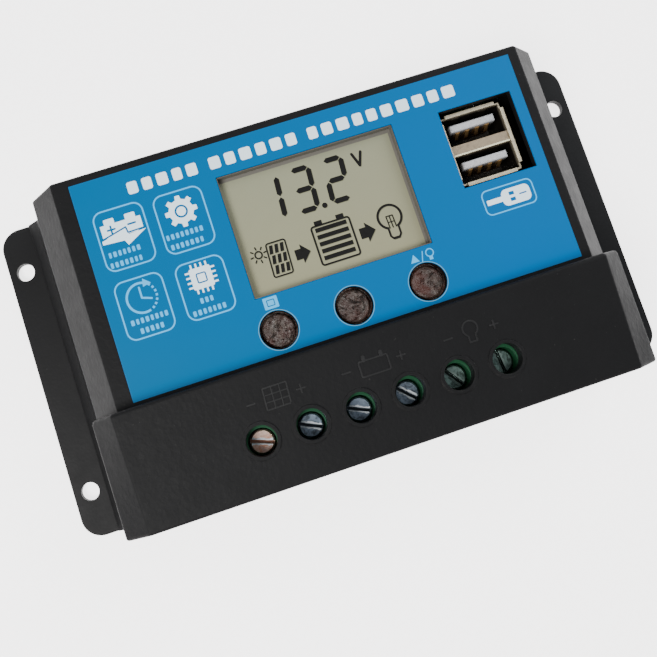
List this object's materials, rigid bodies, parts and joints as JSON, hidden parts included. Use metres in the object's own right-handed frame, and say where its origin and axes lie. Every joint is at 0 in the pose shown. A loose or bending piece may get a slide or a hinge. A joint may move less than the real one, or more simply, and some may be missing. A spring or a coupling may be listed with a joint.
{
  "type": "solar charge controller",
  "caption": "Flat black charge controller case with mounting ears, a display, push buttons, stacked USB sockets facing up and a raised ledge of screw terminals.",
  "frame": {"origin": "middle of the four ear holes, on the back (mounting) plane", "axes": "+X along the ears, towards the USB sockets; +Y away from the wire terminals, towards the top of the display; +Z out of the mounting plane, towards the face"},
  "size_m": [0.15, 0.078, 0.0349],
  "materials": {
    "black_casing": "fine moulded texture",
    "blue_label": "printed film, semi-gloss",
    "screw_steel": "zinc plated",
    "lcd": "reflective grey-green display",
    "white_plastic": "natural white",
    "diffuser": "milky",
    "tin": "tin plated",
    "pcb_green": "solder mask",
    "socket_steel": "nickel plated",
    "gold": "gold flash",
    "terminal_green": "moulded nylon",
    "aluminium": "rolled sheet",
    "silicone": "soft pad",
    "chip_black": "epoxy moulding",
    "can_sleeve": "shrink sleeve",
    "ferrite": "sintered",
    "copper": "enamelled winding",
    "button_grey": "worn grey-brown",
    "switch_black": "moulded"
  },
  "bodies": {
    "controller": {"base_plate": "black_casing", "case_shell": "black_casing", "case_screws": "screw_steel", "face_label": "blue_label", "lcd_glass": "lcd", "lcd_frame": "white_plastic", "lcd_backlight": "diffuser", "lcd_pins": "tin", "main_pcb": "pcb_green", "pcb_screws": "screw_steel", "usb_shell": "socket_steel", "usb_divider": "socket_steel", "usb_insulator": "white_plastic", "usb_contacts": "gold", "terminal_block": "terminal_green", "heat_plate": "aluminium", "thermal_pad": "silicone", "mosfet_1": "chip_black", "mosfet_2": "chip_black", "mosfet_3": "chip_black", "mosfet_4": "chip_black", "capacitor_1": "can_sleeve", "capacitor_2": "can_sleeve", "inductor_core": "ferrite", "inductor_coil": "copper", "control_chip": "chip_black", "terminal_bar_1": "tin", "terminal_bar_2": "tin", "terminal_bar_3": "tin", "terminal_bar_4": "tin", "terminal_bar_5": "tin", "terminal_bar_6": "tin", "switch_base_1": "switch_black", "switch_cover_1": "tin", "switch_dome_1": "tin", "switch_base_2": "switch_black", "switch_cover_2": "tin", "switch_dome_2": "tin", "switch_base_3": "switch_black", "switch_cover_3": "tin", "switch_dome_3": "tin"},
    "button_1": {"button_cap_1": "button_grey", "switch_plunger_1": "switch_black"},
    "button_2": {"button_cap_2": "button_grey", "switch_plunger_2": "switch_black"},
    "button_3": {"button_cap_3": "button_grey", "switch_plunger_3": "switch_black"},
    "screw_1": {"terminal_screw_1": "screw_steel"},
    "cage_1": {"terminal_cage_1": "tin"},
    "screw_2": {"terminal_screw_2": "screw_steel"},
    "cage_2": {"terminal_cage_2": "tin"},
    "screw_3": {"terminal_screw_3": "screw_steel"},
    "cage_3": {"terminal_cage_3": "tin"},
    "screw_4": {"terminal_screw_4": "screw_steel"},
    "cage_4": {"terminal_cage_4": "tin"},
    "screw_5": {"terminal_screw_5": "screw_steel"},
    "cage_5": {"terminal_cage_5": "tin"},
    "screw_6": {"terminal_screw_6": "screw_steel"},
    "cage_6": {"terminal_cage_6": "tin"}
  },
  "joints": [
    {"name": "button_1_press", "type": "slide", "parent": "controller", "child": "button_1", "axis": [0, 0, -1], "range_m": [0, 0.0003], "stiffness_N_per_m": 4000, "springref_m": -0.0001, "deforming": ["switch_dome_1"]},
    {"name": "button_2_press", "type": "slide", "parent": "controller", "child": "button_2", "axis": [0, 0, -1], "range_m": [0, 0.0003], "stiffness_N_per_m": 4000, "springref_m": -0.0001, "deforming": ["switch_dome_2"]},
    {"name": "button_3_press", "type": "slide", "parent": "controller", "child": "button_3", "axis": [0, 0, -1], "range_m": [0, 0.0003], "stiffness_N_per_m": 4000, "springref_m": -0.0001, "deforming": ["switch_dome_3"]},
    {"name": "screw_1_turn", "type": "hinge", "parent": "controller", "child": "screw_1", "pos_m": [-0.0275, -0.0283, 0.026], "axis": [0, 0, -1], "range_deg": [0, 1980]},
    {"name": "cage_1_rise", "type": "slide", "parent": "controller", "child": "cage_1", "axis": [0, 0, 1], "range_m": [0, 0.00385]},
    {"name": "screw_2_turn", "type": "hinge", "parent": "controller", "child": "screw_2", "pos_m": [-0.0165, -0.0283, 0.026], "axis": [0, 0, -1], "range_deg": [0, 1980]},
    {"name": "cage_2_rise", "type": "slide", "parent": "controller", "child": "cage_2", "axis": [0, 0, 1], "range_m": [0, 0.00385]},
    {"name": "screw_3_turn", "type": "hinge", "parent": "controller", "child": "screw_3", "pos_m": [-0.0055, -0.0283, 0.026], "axis": [0, 0, -1], "range_deg": [0, 1980]},
    {"name": "cage_3_rise", "type": "slide", "parent": "controller", "child": "cage_3", "axis": [0, 0, 1], "range_m": [0, 0.00385]},
    {"name": "screw_4_turn", "type": "hinge", "parent": "controller", "child": "screw_4", "pos_m": [0.0055, -0.0283, 0.026], "axis": [0, 0, -1], "range_deg": [0, 1980]},
    {"name": "cage_4_rise", "type": "slide", "parent": "controller", "child": "cage_4", "axis": [0, 0, 1], "range_m": [0, 0.00385]},
    {"name": "screw_5_turn", "type": "hinge", "parent": "controller", "child": "screw_5", "pos_m": [0.0165, -0.0283, 0.026], "axis": [0, 0, -1], "range_deg": [0, 1980]},
    {"name": "cage_5_rise", "type": "slide", "parent": "controller", "child": "cage_5", "axis": [0, 0, 1], "range_m": [0, 0.00385]},
    {"name": "screw_6_turn", "type": "hinge", "parent": "controller", "child": "screw_6", "pos_m": [0.0275, -0.0283, 0.026], "axis": [0, 0, -1], "range_deg": [0, 1980]},
    {"name": "cage_6_rise", "type": "slide", "parent": "controller", "child": "cage_6", "axis": [0, 0, 1], "range_m": [0, 0.00385]}
  ],
  "couplings": [
    {"joint": "screw_1_turn", "follows": "cage_1_rise", "rad_per_m": 8976},
    {"joint": "screw_2_turn", "follows": "cage_2_rise", "rad_per_m": 8976},
    {"joint": "screw_3_turn", "follows": "cage_3_rise", "rad_per_m": 8976},
    {"joint": "screw_4_turn", "follows": "cage_4_rise", "rad_per_m": 8976},
    {"joint": "screw_5_turn", "follows": "cage_5_rise", "rad_per_m": 8976},
    {"joint": "screw_6_turn", "follows": "cage_6_rise", "rad_per_m": 8976}
  ]
}
